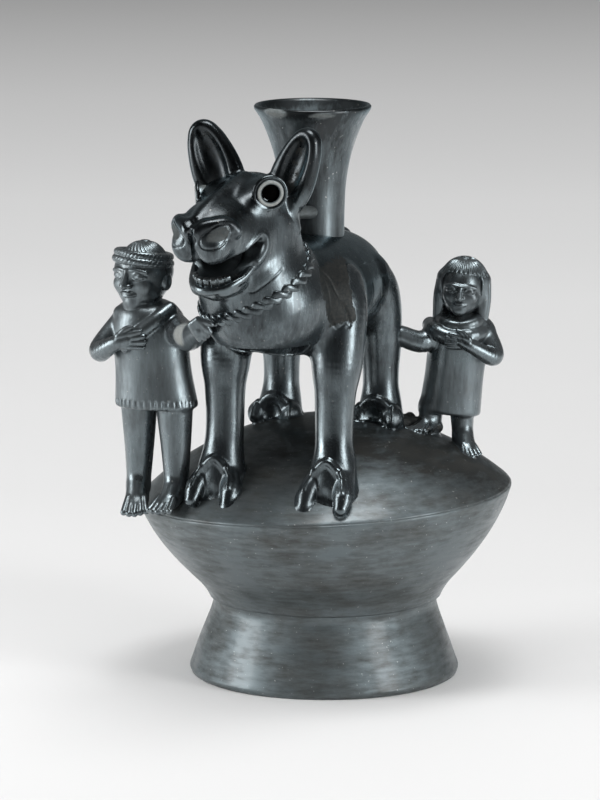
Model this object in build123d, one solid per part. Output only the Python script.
from build123d import *
import math
import os

# A spouted llama bottle in millimetres. Z is up, the foot stands on Z = 0 and the llama faces -Y.
# Every piece of clay is its own solid, cut back where it seats on its neighbour.

# Pedestal foot, bowl and dome
foot_radius = 71.0
foot_edge_round = 2.5
waist_radius = 57.3
waist_height = 41.6
flare_sag = 0.7
bowl_bulge = 5.8
keel_radius = 98.4
keel_height = 97.4
dome_rise = 37.0
clay_wall = 6.0
lean_angle = 2.7
lean_bearing = 201.0

# Llama trunk, legs and feet
belly_gap = 45.0
trunk_half_width = 38.0
trunk_half_height = 29.0
trunk_front = -87.0
trunk_back = 30.0
trunk_wall = 6.0
leg_radius = 10.8
leg_spread = 30.0
fore_leg_y = -64.0
hind_leg_y = 8.0
passage_radius = 4.5
toe_width = 12.5
toe_length = 23.0
toe_height = 13.0
tail_length = 16.0

# Llama neck, head and halter
neck_radius = 26.5
neck_shift = -7.0
neck_forward = 2.0
head_turn = 8.0
head_droop = 18.0
head_lift = 47.0
skull_length = 84.0
skull_half_height = 25.5
skull_half_width = 23.5
jaw_length = 56.0
jaw_half_height = 10.5
mouth_gap = 11.8
tooth_height = 4.2
eye_radius = 7.6
right_eye_drop = 3.6
ear_length = 31.0
ear_half_width = 11.6
ear_splay = 24.0
rope_radius = 2.5

# Spout and bridge
spout_y = -18.0
spout_radius = 16.4
spout_height = 65.0
rim_radius = 30.5
spout_wall = 4.0
strap_width = 15.0
strap_thickness = 5.0
strap_gap = 9.0

# Man, standing by the llama's right shoulder
man_reach = 0.978
man_bearing = 226.9
man_turn = 8.0
man_leg_height = 49.0
man_tunic_height = 56.0
man_half_width = 18.6
man_head_height = 35.0
man_limb_radius = 6.0
man_leg_radius = 8.0

# Woman, standing by the llama's left haunch
woman_reach = 0.653
woman_bearing = 25.4
woman_turn = 16.0
woman_leg_height = 13.0
woman_tunic_height = 56.0
woman_half_width = 15.2
woman_head_height = 27.0
woman_limb_radius = 4.6
woman_leg_radius = 5.6

# Values worked out from the sizes above
crown = keel_height + dome_rise
trunk_mid = crown + belly_gap + trunk_half_height
back_height = trunk_mid + trunk_half_height
dome_sphere = (keel_radius ** 2 + dome_rise ** 2) / (2 * dome_rise)
low_side = Vector(math.cos(math.radians(lean_bearing)), math.sin(math.radians(lean_bearing)), 0)
lean = math.radians(lean_angle)
chamber_axis = low_side * math.sin(lean) + Vector(0, 0, math.cos(lean))
keel_centre = Vector(0, 0, keel_height)
keel_plane = Plane(origin=keel_centre, x_dir=low_side.cross(Vector(0, 0, 1)), z_dir=chamber_axis)
sphere_centre = keel_centre + chamber_axis * (dome_rise - dome_sphere)
neck_centre = Vector(neck_shift, trunk_front - neck_forward, trunk_mid)
head_base = Vector(neck_shift + 1, trunk_front - neck_forward + 1, trunk_mid + head_lift)
head_frame = Location(head_base, (0, 0, -head_turn))
face_frame = head_frame * Location((0, 0, 0), (head_droop, 0, 0))
bore_radius = spout_radius - spout_wall


def dome_height(x, y):
    """Height of the leaning dome under a point, held at its rim beyond the keel."""
    across = Vector(x - sphere_centre.X, y - sphere_centre.Y, 0)
    distance = min(across.length, 0.97 * keel_radius)
    return sphere_centre.Z + math.sqrt(dome_sphere ** 2 - distance ** 2)


def oval(centre, direction, half_x, half_y, side=(1, 0, 0)):
    """A smooth oval face across a direction, its first half axis laid towards the side."""
    along = Vector(direction).normalized()
    across = Vector(side) - along * Vector(side).dot(along)
    plane = Plane(origin=centre, x_dir=across, z_dir=along)
    turns = [math.radians(45 * step) for step in range(8)]
    points = [(half_x * math.cos(turn), half_y * math.sin(turn)) for turn in turns]
    return plane * make_face(Spline(*points, periodic=True))


def limb(points, radii, side=(1, 0, 0), flat=1.0):
    """A smooth tapering roll of clay through points, with one radius at each."""
    stops = [Vector(point) for point in points]
    faces = []
    for index, stop in enumerate(stops):
        before = stops[max(index - 1, 0)]
        after = stops[min(index + 1, len(stops) - 1)]
        faces.append(oval(stop, after - before, radii[index], radii[index] * flat, side))
    return loft(faces)


def spindle(rows):
    """A rounded form along -Y; each row is distance, middle height, half height and half width."""
    faces = []
    for distance, middle, half_height, half_width in rows:
        faces.append(oval((0, -distance, middle), (0, -1, 0), half_width, half_height))
    return loft(faces)


def ovoid(centre, radii, turn=(0, 0, 0)):
    """An egg form with three half axes, its two tips a little flat."""
    faces = []
    for step in range(-3, 4):
        tilt = math.radians(25 * step)
        height = radii[2] * math.sin(tilt)
        faces.append(oval((0, 0, height), (0, 0, 1), radii[0] * math.cos(tilt), radii[1] * math.cos(tilt)))
    return Location(centre, turn) * loft(faces)


def biggest(shape):
    """The largest solid of a cut result."""
    return max(shape.solids(), key=lambda solid: solid.volume)


def near(shape, other):
    """True where the boxes of two shapes meet."""
    one = shape.bounding_box()
    two = other.bounding_box()
    return all(
        low_one <= high_two and low_two <= high_one
        for low_one, high_one, low_two, high_two in zip(
            tuple(one.min), tuple(one.max), tuple(two.min), tuple(two.max)
        )
    )


def seated(shape, *neighbours):
    """The shape cut back to the faces of the neighbours it presses on."""
    result = biggest(shape)
    for neighbour in neighbours:
        if near(result, neighbour):
            result = biggest(result - neighbour)
    return result


def turned_profile(*lines):
    """A solid turned about Z from a closed outline in the XZ plane."""
    return revolve(Plane.XZ * make_face(Curve() + list(lines)), axis=Axis.Z)


def pedestal_foot():
    """The flared stand: an open ring under the bowl."""
    edge = foot_edge_round
    top = (waist_radius, waist_height)
    toe = (foot_radius, edge)
    middle = ((waist_radius + foot_radius) / 2 - flare_sag, (waist_height + edge) / 2)
    inside_top = (waist_radius - clay_wall, waist_height)
    inside_toe = (foot_radius - clay_wall - edge, 0)
    return turned_profile(
        ThreePointArc(top, middle, toe),
        ThreePointArc(toe, (foot_radius - 0.29 * edge, 0.29 * edge), (foot_radius - edge, 0)),
        Line((foot_radius - edge, 0), inside_toe),
        Line(inside_toe, inside_top),
        Line(inside_top, top),
    )


def bowl_form(inset):
    """The lower chamber from the level waist to the leaning keel."""
    floor = waist_height + inset
    upright = Vector(0, 0, 1)
    faces = []
    for share in (0, 0.25, 0.5, 0.75, 1):
        radius = waist_radius + (keel_radius - waist_radius) * share + 4 * bowl_bulge * share * (1 - share)
        axis = chamber_axis * share + upright * (1 - share)
        middle = (0, 0, floor + (keel_height - floor) * share)
        plane = Plane(origin=middle, x_dir=keel_plane.x_dir, z_dir=axis)
        faces.append(plane * Circle(radius - inset * (0.4 + 0.6 * share)))
    return loft(faces)


def dome_form(inset):
    """The cap over the chamber as a full solid; the inset makes its hollow."""
    radius = keel_radius - inset
    rise = dome_rise - inset
    sphere = (radius ** 2 + rise ** 2) / (2 * rise)
    half_angle = math.asin(radius / sphere) / 2
    middle = (sphere * math.sin(half_angle), rise - sphere + sphere * math.cos(half_angle))
    cap = turned_profile(
        ThreePointArc((radius, 0), middle, (0, rise)),
        Line((0, rise), (0, 0)),
        Line((0, 0), (radius, 0)),
    )
    return keel_plane * cap


def trunk_form(inset):
    """The llama's barrel as a full solid; the inset makes its hollow."""
    high = trunk_half_height - inset
    front = trunk_front + inset
    back = trunk_back - inset
    length = back - front
    wide = trunk_half_width - inset
    shares = [(0, 0.20), (0.07, 0.66), (0.22, 0.95), (0.50, 1.0), (0.78, 0.96), (0.93, 0.68), (1, 0.20)]
    rows = [(share * length - back, 0, high * size, wide * size) for share, size in shares]
    return Location((0, 0, trunk_mid)) * spindle(rows)


def fore_leg(side):
    """A straight front leg, rolled up onto the shoulder."""
    x = side * leg_spread
    foot = dome_height(x, fore_leg_y) - 4
    points = [
        (x * 1.04, fore_leg_y + 12, trunk_mid + 6),
        (x * 1.04, fore_leg_y + 8, trunk_mid - 6),
        (x * 1.02, fore_leg_y + 2, trunk_mid - trunk_half_height),
        (x, fore_leg_y, (foot + trunk_mid) / 2 - 8),
        (x * 1.03, fore_leg_y - 4, foot),
    ]
    radii = [leg_radius * share for share in (0.62, 0.98, 1.12, 0.97, 1.02)]
    return limb(points, radii)


def hind_leg(side):
    """A straight hollow hind leg with a haunch on the trunk's flank."""
    x = side * leg_spread * 0.94
    foot = dome_height(x, hind_leg_y) - 4
    points = [
        (x * 1.02, hind_leg_y - 8, trunk_mid + 4),
        (x * 1.02, hind_leg_y - 4, trunk_mid - 8),
        (x * 1.01, hind_leg_y, trunk_mid - trunk_half_height),
        (x, hind_leg_y, (foot + trunk_mid) / 2 - 8),
        (x, hind_leg_y, foot),
    ]
    radii = [leg_radius * share for share in (0.75, 1.08, 1.12, 1.02, 1.04)]
    return limb(points, radii)


def passage(side):
    """The bore down a hind leg, from the trunk's hollow into the chamber."""
    length = trunk_mid - keel_height
    middle = (side * leg_spread * 0.94, hind_leg_y, keel_height + length / 2)
    return Location(middle) * Cylinder(passage_radius, length)


def toes(x, y, splay):
    """A cloven foot: two blunt toes side by side, splayed outwards."""
    pair = []
    for side in (-1, 1):
        middle = (x + side * toe_width * 0.46, y - toe_length * 0.3)
        height = dome_height(*middle) + toe_height * 0.22
        radii = (toe_width / 2, toe_length / 2, toe_height * 0.72)
        pair.append(ovoid((*middle, height), radii, (12, 0, -splay * side)))
    return pair[0] + pair[1]


def tail():
    """The short tail lying on the rump."""
    top = (0, trunk_back - 8, trunk_mid + trunk_half_height * 0.66)
    points = [
        top,
        (0, trunk_back - 1, top[2] - tail_length * 0.30),
        (0, trunk_back + 3, top[2] - tail_length * 0.75),
        (0, trunk_back + 3, top[2] - tail_length * 1.25),
    ]
    return limb(points, [6.5, 6.2, 5.2, 2.6])


def neck():
    """The neck, rising out of the chest into the back of the head."""
    chest = Vector(0, trunk_front + 22, trunk_mid - 1)
    bend = Vector(neck_shift * 0.4, trunk_front + 6, trunk_mid + 1)
    top = head_base + Vector(0, 4, 6)
    return loft([
        oval(chest, (0, -1, 0.15), neck_radius * 1.24, trunk_half_height * 0.9),
        oval(bend, (0, -0.8, 0.6), neck_radius * 1.17, neck_radius * 1.12),
        oval(neck_centre + Vector(0, 0, 19), (-0.08, -0.12, 1), neck_radius, neck_radius * 0.96),
        oval(top, (0, 0.1, 1), neck_radius * 0.86, neck_radius * 0.8),
    ])


def mouth_line(depth):
    """The curve of the mouth on the side of the face, from the corner to the front."""
    corner = (0.30 * skull_length, -0.03 * skull_half_height)
    middle = (0.47 * skull_length, -0.16 * skull_half_height - depth)
    front = (0.95 * skull_length, -0.19 * skull_half_height - depth * 0.95)
    return corner, middle, front


def side_prism(outline):
    """A slab across the head cut to an outline given as distance forward and height."""
    return extrude(Plane.ZY * make_face(outline), 2 * keel_radius, both=True)


def face_point(distance, height):
    """A point of a side outline, in the plane that looks along the head's width."""
    return (height, -distance)


def mouth_cut():
    """The open mouth as a curved wedge through the muzzle."""
    upper = [face_point(*point) for point in mouth_line(0)]
    lower = [face_point(*point) for point in mouth_line(mouth_gap)]
    return side_prism(Curve() + [
        ThreePointArc(*upper),
        Line(upper[2], lower[2]),
        ThreePointArc(lower[2], lower[1], lower[0]),
    ])


def below_mouth():
    """Everything under the lower lip, where the skull gives way to the jaw."""
    lower = [face_point(*point) for point in mouth_line(mouth_gap)]
    depth = -2 * skull_half_height
    front = (depth, lower[2][1])
    back = (depth, lower[0][1])
    return side_prism(Curve() + [
        ThreePointArc(*lower),
        Line(lower[2], front),
        Line(front, back),
        Line(back, lower[0]),
    ])


def skull():
    """The llama's head without its lower jaw: brows, split lip and nostrils."""
    high = skull_half_height
    wide = skull_half_width
    rows = [
        (-0.24, 0.02, 0.26, 0.26),
        (-0.12, -0.04, 0.70, 0.80),
        (0.11, -0.12, 0.90, 1.0),
        (0.33, -0.13, 0.93, 0.94),
        (0.54, 0.18, 0.62, 0.72),
        (0.68, 0.28, 0.50, 0.61),
        (0.75, 0.30, 0.24, 0.30),
    ]
    form = spindle([
        (along * skull_length, middle * high, tall * high, broad * wide)
        for along, middle, tall, broad in rows
    ])
    for side in (-1, 1):
        brow = (side * 0.64 * wide, -0.14 * skull_length, 0.50 * high)
        form = form + ovoid(brow, (0.42 * wide, 0.50 * high, 0.40 * high))
    form = form - below_mouth() - mouth_cut()
    for side in (-1, 1):
        lobe = (side * 0.32 * wide, -0.68 * skull_length, 0.19 * high)
        form = form + ovoid(lobe, (0.34 * wide, 0.31 * high, 0.42 * high), (0, side * 6, 0))
    for side in (-1, 1):
        pit = (side * 0.38 * wide, -0.755 * skull_length, 0.48 * high)
        form = form - ovoid(pit, (2.2, 3.4, 3.8), (0, side * 30, side * 20))
    return face_frame * form


def jaw():
    """The lower jaw, dropped open under the mouth."""
    high = jaw_half_height
    shares = [(0, 0.5), (0.14, 1.0), (0.48, 1.06), (0.80, 0.86), (0.95, 0.62), (1, 0.4)]
    rows = [(share * jaw_length, 0, high * size, 1.45 * high * size) for share, size in shares]
    place = Location((0, -0.03 * skull_length, -0.56 * skull_half_height), (9, 0, 0))
    return face_frame * (place * spindle(rows) - mouth_cut())


def teeth():
    """A row of five lower teeth standing on the front of the jaw."""
    row = []
    arch = 0.40 * skull_half_height
    seat = -0.19 * skull_half_height - mouth_gap * 0.95
    for step in range(-2, 3):
        turn = math.radians(34 * step)
        x = arch * math.sin(turn)
        y = -0.545 * skull_length - arch * 0.8 * math.cos(turn)
        lift = seat + 0.09 * (0.66 * skull_length + y)
        block = Box(arch * 0.62, arch * 0.42, 2 * tooth_height)
        row.append(Location((x, y, lift), (0, 0, 34 * step)) * block)
    strip = row[0]
    for block in row[1:]:
        strip = strip + block
    return face_frame * strip


def eye(side):
    """A round eye: a raised ring about a sunken pupil."""
    ring = eye_radius
    button = turned_profile(
        Line((0, -ring), (ring * 0.96, -ring)),
        Line((ring * 0.96, -ring), (ring, 0)),
        ThreePointArc((ring, 0), (ring * 0.86, ring * 0.26), (ring * 0.66, ring * 0.10)),
        ThreePointArc((ring * 0.66, ring * 0.10), (ring * 0.4, -ring * 0.02), (0, ring * 0.02)),
        Line((0, ring * 0.02), (0, -ring)),
    )
    drop = right_eye_drop if side < 0 else 0
    place = (side * 0.91 * skull_half_width, -0.185 * skull_length, 0.71 * skull_half_height - drop)
    aim = Location(place, (0, 0, side * 44)) * Location((0, 0, 0), (90 - 4, 0, 0))
    return face_frame * (aim * button)


def ear(side):
    """A pricked ear, scooped on its front."""
    base = Vector(side * 0.70 * skull_half_height, 0.06 * skull_length, 0.42 * skull_half_height)
    lean_out = math.radians(ear_splay)
    along = Vector(side * math.sin(lean_out), 0.05, math.cos(lean_out))
    reach = ear_length + 0.24 * skull_half_height
    across = Vector(side, 0.25, 0)
    shares = [(0.0, 0.80, 5.0), (0.34, 0.98, 4.4), (0.66, 0.86, 3.8), (0.90, 0.58, 3.0), (1.0, 0.26, 1.6)]
    leaf = loft([
        oval(base + along * (reach * share), along, ear_half_width * wide, thick, across)
        for share, wide, thick in shares
    ])
    scoop_middle = base + along * (reach * 0.60) + Vector(side * 1.2, -4.6, 0)
    scoop_turn = (0, side * ear_splay, 0)
    scoop = ovoid(scoop_middle, (ear_half_width * 0.62, 4.2, reach * 0.34), scoop_turn)
    return head_frame * (leaf - scoop)


def rope_halter():
    """A thick cord lying slantwise round the neck."""
    middle = neck_centre + Vector(0, 0, 12)
    slope = Vector(-0.47, -0.47, 1)
    plane = Plane(origin=middle, x_dir=(1, 0, 0.47), z_dir=slope)
    turns = [math.radians(45 * step) for step in range(8)]
    wide = neck_radius * 1.16 + rope_radius * 0.3
    points = [(wide * math.cos(turn), wide * math.sin(turn)) for turn in turns]
    path = plane * Spline(*points, periodic=True)
    start = Plane(origin=path @ 0, z_dir=path % 0)
    return sweep(start * Circle(rope_radius), path=path)


def spout_form():
    """The flared spout, open from its rim down to the llama's back."""
    foot = -0.35 * spout_height
    wall = spout_wall
    rim = spout_height
    lip = wall * 0.45
    outer_low = (spout_radius, foot)
    outer_mid = (spout_radius * 1.06, rim * 0.38)
    outer_rim = (rim_radius, rim - lip)
    inner_rim = (rim_radius - 2 * lip, rim - lip * 0.4)
    inner_mid = (bore_radius * 1.08, rim * 0.40)
    inner_low = (bore_radius, foot)
    return Location((0, spout_y, back_height)) * turned_profile(
        Spline(outer_low, outer_mid, outer_rim, tangents=[(0, 1), (1, 0.75)]),
        ThreePointArc(outer_rim, (rim_radius - lip * 0.9, rim), inner_rim),
        Spline(inner_rim, inner_mid, inner_low, tangents=[(-1, -0.8), (0, -1)]),
        Line(inner_low, outer_low),
    )


def spout_core():
    """The spout's outside as a full plug, for cutting its neighbours."""
    length = spout_height
    return Location((0, spout_y, back_height + length * 0.2)) * Cylinder(spout_radius, length)


def throat():
    """The hole through the llama's back under the spout."""
    length = trunk_half_height * 1.6
    return Location((0, spout_y, back_height)) * Cylinder(bore_radius, length)


def bridge_strap():
    """A flat strap from the spout to the back of the head."""
    height = back_height + strap_gap + strap_thickness / 2
    start = Vector(0, spout_y, height)
    end = Vector(head_base.X, head_base.Y, height + 1)
    middle = (start + end) * 0.5 + Vector(0, 0, 1.5)
    return loft([
        oval(point, end - start, strap_width / 2, strap_thickness / 2)
        for point in (start, middle, end)
    ])


def figure_frame(reach, bearing, turn):
    """Where a figure stands on the dome, facing -Y before its turn."""
    angle = math.radians(bearing)
    x = reach * keel_radius * math.cos(angle)
    y = reach * keel_radius * math.sin(angle)
    return Location((x, y, dome_height(x, y)), (0, 0, turn))


def in_frame(frame, point):
    """A point of the whole bottle, seen from a figure's own frame."""
    return (frame.inverse() * Location(Vector(point))).position


def tunic(leg_height, height, half_width, sway, spread):
    """A belted dress: full at the hem, sloping in over the shoulders."""
    rows = [(0.0, spread), (0.36, 1.01), (0.74, 1.0), (0.92, 0.80), (1.0, 0.42)]
    faces = []
    for share, wide in rows:
        centre = (sway * share, 0, leg_height + height * share)
        deep = half_width * wide * (0.70 + 0.22 * share)
        faces.append(oval(centre, (0, 0, 1), half_width * wide, deep))
    return loft(faces)


def figure_leg(x, y, leg_height, radius, sink):
    """A bare leg from under the hem down into the dome."""
    points = [(x * 0.98, y * 0.6, leg_height + 4), (x, y, leg_height * 0.5), (x, y, -sink)]
    return limb(points, [radius * 1.16, radius * 1.04, radius * 0.86])


def figure_foot(x, y, radius, drop):
    """A bare foot pointing forward."""
    return ovoid((x, y - radius * 0.9, drop), (radius * 0.84, radius * 1.65, radius * 0.78), (14, 0, 0))


def bent_arm(shoulder, elbow, hand, radius):
    """An arm bent at the elbow, ending in a mitten hand."""
    start, bend, end = Vector(shoulder), Vector(elbow), Vector(hand)
    upper = limb([start, bend], [radius * 1.08, radius * 0.98])
    lower = limb([bend, end], [radius * 0.98, radius * 0.72])
    knuckle = ovoid(bend, (radius * 1.04, radius * 1.04, radius * 1.04))
    palm = ovoid(end, (radius, radius, radius * 1.1))
    return upper + knuckle + lower + palm


def figure_head(centre, height, turn):
    """A plain egg of a head with a small nose."""
    frame = Location(centre, (0, 0, turn))
    face = ovoid((0, 0, 0), (height * 0.42, height * 0.41, height * 0.51))
    nose = ovoid((0, -height * 0.40, -height * 0.02), (height * 0.07, height * 0.09, height * 0.12))
    return frame * (face + nose)


def cap_form(centre, height, turn, swell, brow):
    """A close cap with the top of the head in it: a wider egg kept above the brow."""
    frame = Location(centre, (0, 0, turn))
    swollen = ovoid((0, 0, 0), (height * 0.42 + swell, height * 0.41 + swell, height * 0.45 + swell))
    keep = Location((0, 0, brow + height), (-8, 0, 0)) * Box(2 * height, 2 * height, 2 * height)
    return frame * (swollen & keep)


def head_band(centre, height, turn, swell, low, high):
    """A braid round the head over the brow, with the slice of head inside it."""
    frame = Location(centre, (0, 0, turn))
    swollen = ovoid((0, 0, 0), (height * 0.42 + swell, height * 0.41 + swell, height * 0.60 + swell))
    keep = Location((0, 0, (low + high) / 2), (-8, 0, 0)) * Box(2 * height, 2 * height, high - low)
    return frame * (swollen & keep)


def ear_disc(centre, height, turn, side):
    """A round ear ornament on the side of the head."""
    frame = Location(centre, (0, 0, turn))
    place = Location((side * height * 0.40, height * 0.02, -height * 0.06), (0, 90, 0))
    return frame * (place * Cylinder(height * 0.15, height * 0.16))


def long_hair(centre, height, turn, swell):
    """Hair and skull, cut across the brow and hanging to the shoulders beside the face."""
    frame = Location(centre, (0, 0, turn))
    cap = ovoid((0, height * 0.03, 0), (height * 0.40 + swell, height * 0.42 + swell, height * 0.50 + swell))
    form = cap
    for side in (-1, 1):
        top = (side * height * 0.40, height * 0.06, 0)
        tip = (side * height * 0.46, height * 0.10, -height * 0.62)
        form = form + limb([top, tip], [height * 0.17, height * 0.12])
    opening = Location((0, -height * 0.62, -height * 0.42)) * Box(height * 0.62, height, height * 1.16)
    return frame * (form - opening)


def make_vessel():
    """Foot, bowl and pierced dome."""
    dome = dome_form(0) - dome_form(clay_wall)
    for side in (-1, 1):
        dome = dome - passage(side)
    return {
        "pedestal_foot": biggest(pedestal_foot()),
        "bowl_lower": biggest(bowl_form(0) - bowl_form(clay_wall)),
        "dome_upper": biggest(dome),
    }


def make_llama(dome):
    """The llama with its halter, the spout on its back and the strap between them."""
    body = trunk_form(0)
    trunk = body - trunk_form(trunk_wall) - throat()
    pieces = {}
    legs = []
    for side, name in ((1, "left"), (-1, "right")):
        fore = seated(fore_leg(side), body, dome)
        hind = seated(hind_leg(side), body, dome)
        trunk = trunk - passage(side)
        fore_toes = toes(side * leg_spread * 1.07, fore_leg_y - 7, 10)
        hind_toes = toes(side * leg_spread * 0.98, hind_leg_y - 2, 10)
        pieces["llama_fore_leg_" + name] = fore
        pieces["llama_fore_foot_" + name] = seated(fore_toes, dome, fore)
        pieces["llama_hind_foot_" + name] = seated(hind_toes, dome, hind)
        pieces["llama_hind_leg_" + name] = biggest(hind - passage(side))
        legs = legs + [fore, hind]
    pieces["llama_trunk"] = biggest(trunk)
    pieces["llama_tail"] = seated(tail(), body)
    head = biggest(skull())
    chin = seated(jaw(), head)
    pieces["llama_head"] = head
    pieces["llama_jaw"] = chin
    pieces["llama_teeth"] = seated(teeth(), head, chin)
    throat_roll = seated(neck(), body, head, chin, *legs)
    pieces["llama_neck"] = throat_roll
    for side, name in ((1, "left"), (-1, "right")):
        pieces["llama_eye_" + name] = seated(eye(side), head)
        pieces["llama_ear_" + name] = seated(ear(side), head, throat_roll)
    pieces["llama_halter"] = seated(rope_halter(), throat_roll, body, head, chin, *legs)
    pieces["spout"] = seated(spout_form(), body)
    pieces["bridge_strap"] = seated(bridge_strap(), spout_core(), pieces["spout"], head, throat_roll, body)
    return pieces, body


def make_man(dome, llama):
    """The man with one hand on his chest and the other on the halter."""
    frame = figure_frame(man_reach, man_bearing, man_turn)
    shoulder = man_leg_height + man_tunic_height * 0.80
    sway = -5.0
    wide = man_half_width
    limb_radius = man_limb_radius
    top = man_leg_height + man_tunic_height
    crown_turn = -22.0
    centre = (sway - 1.5, -1.0, top + man_head_height * 0.36)
    grip = neck_centre + Vector(-0.56 * neck_radius, -1.08 * neck_radius, -6)
    dress = frame * tunic(man_leg_height, man_tunic_height, wide, sway, 1.12)
    dress = seated(dress, llama["llama_fore_leg_right"])
    band = biggest(frame * head_band(centre, man_head_height, crown_turn, 1.8, 4.0, 9.0))
    cap = seated(frame * cap_form(centre, man_head_height, crown_turn, 1.2, 9.0), band)
    head = seated(frame * figure_head(centre, man_head_height, crown_turn), cap, band, dress)
    pieces = {"man_tunic": dress, "man_head": head, "man_headband": band, "man_cap": cap}
    near_parts = [dress, head]
    for side, name in ((1, "left"), (-1, "right")):
        x = side * man_leg_radius * 1.25
        y = -side * man_leg_radius * 0.55
        leg = seated(frame * figure_leg(x, y, man_leg_height, man_leg_radius, 2), dress, dome)
        foot = seated(frame * figure_foot(x, y - 2, man_leg_radius, 3.0), dome, leg)
        pieces["man_leg_" + name] = leg
        pieces["man_foot_" + name] = foot
        disc = ear_disc(centre, man_head_height, crown_turn, side)
        pieces["man_ear_disc_" + name] = seated(frame * disc, head, band, cap)
    rest = (-wide * 0.80, -wide * 0.86, man_leg_height + man_tunic_height * 0.64)
    elbow = (sway - wide * 1.20, -wide * 0.40, man_leg_height + man_tunic_height * 0.52)
    right = bent_arm((sway - wide * 0.66, 0, shoulder), elbow, rest, limb_radius)
    pieces["man_arm_right"] = seated(frame * right, *near_parts)
    hold = in_frame(frame, grip)
    crook = (hold * 0.45 + Vector(wide * 0.62, 0, shoulder) * 0.55) + Vector(2, 3, -5)
    left = bent_arm((sway + wide * 0.62, 0, shoulder), crook, hold, limb_radius)
    blockers = [llama[name] for name in ("llama_neck", "llama_halter", "llama_fore_leg_right", "llama_jaw")]
    pieces["man_arm_left"] = seated(frame * left, *near_parts, *blockers)
    return pieces


def make_woman(dome, llama, body):
    """The woman with one hand on her chest and the other on the llama's haunch."""
    frame = figure_frame(woman_reach, woman_bearing, woman_turn)
    shoulder = woman_leg_height + woman_tunic_height * 0.84
    sway = 6.5
    wide = woman_half_width
    limb_radius = woman_limb_radius
    top = woman_leg_height + woman_tunic_height
    centre = (sway + 2.0, -1.0, top + woman_head_height * 0.48)
    haunch = llama["llama_hind_leg_left"]
    dress = frame * tunic(woman_leg_height, woman_tunic_height, wide, sway, 1.06)
    dress = seated(dress, haunch)
    hair = seated(frame * long_hair(centre, woman_head_height, -4, 2.0), dress)
    head = seated(frame * figure_head(centre, woman_head_height, -4), hair, dress)
    pieces = {"woman_tunic": dress, "woman_head": head, "woman_hair": hair}
    near_parts = [dress, head, hair]
    for side, name in ((1, "left"), (-1, "right")):
        x = side * woman_leg_radius * 1.7
        leg = seated(frame * figure_leg(x, -3, woman_leg_height, woman_leg_radius, 6), dress, dome, haunch)
        foot = seated(frame * figure_foot(x, -6, woman_leg_radius, 2.0), dome, leg, dress)
        pieces["woman_leg_" + name] = leg
        pieces["woman_foot_" + name] = foot
    rest = (sway + 1.0, -wide * 0.86, woman_leg_height + woman_tunic_height * 0.70)
    elbow = (sway + wide * 1.24, -wide * 0.45, woman_leg_height + woman_tunic_height * 0.62)
    left = bent_arm((sway + wide * 0.70, 0, shoulder), elbow, rest, limb_radius)
    pieces["woman_arm_left"] = seated(frame * left, *near_parts)
    touch = Vector(leg_spread * 1.26, hind_leg_y + 3, trunk_mid - trunk_half_height * 1.05)
    hold = in_frame(frame, touch)
    crook = (hold * 0.5 + Vector(-wide * 0.5, 0, shoulder) * 0.5) + Vector(-1, -4, -5)
    right = bent_arm((sway - wide * 0.70, 0, shoulder), crook, hold, limb_radius)
    pieces["woman_arm_right"] = seated(frame * right, body, haunch, *near_parts)
    return pieces


vessel = make_vessel()
solid_dome = dome_form(0)
llama_pieces, llama_body = make_llama(solid_dome)
man_pieces = make_man(solid_dome, llama_pieces)
woman_pieces = make_woman(solid_dome, llama_pieces, llama_body)

os.makedirs("parts", exist_ok=True)
for name, solid in {**vessel, **llama_pieces, **man_pieces, **woman_pieces}.items():
    export_step(solid, os.path.join("parts", name + ".step"))
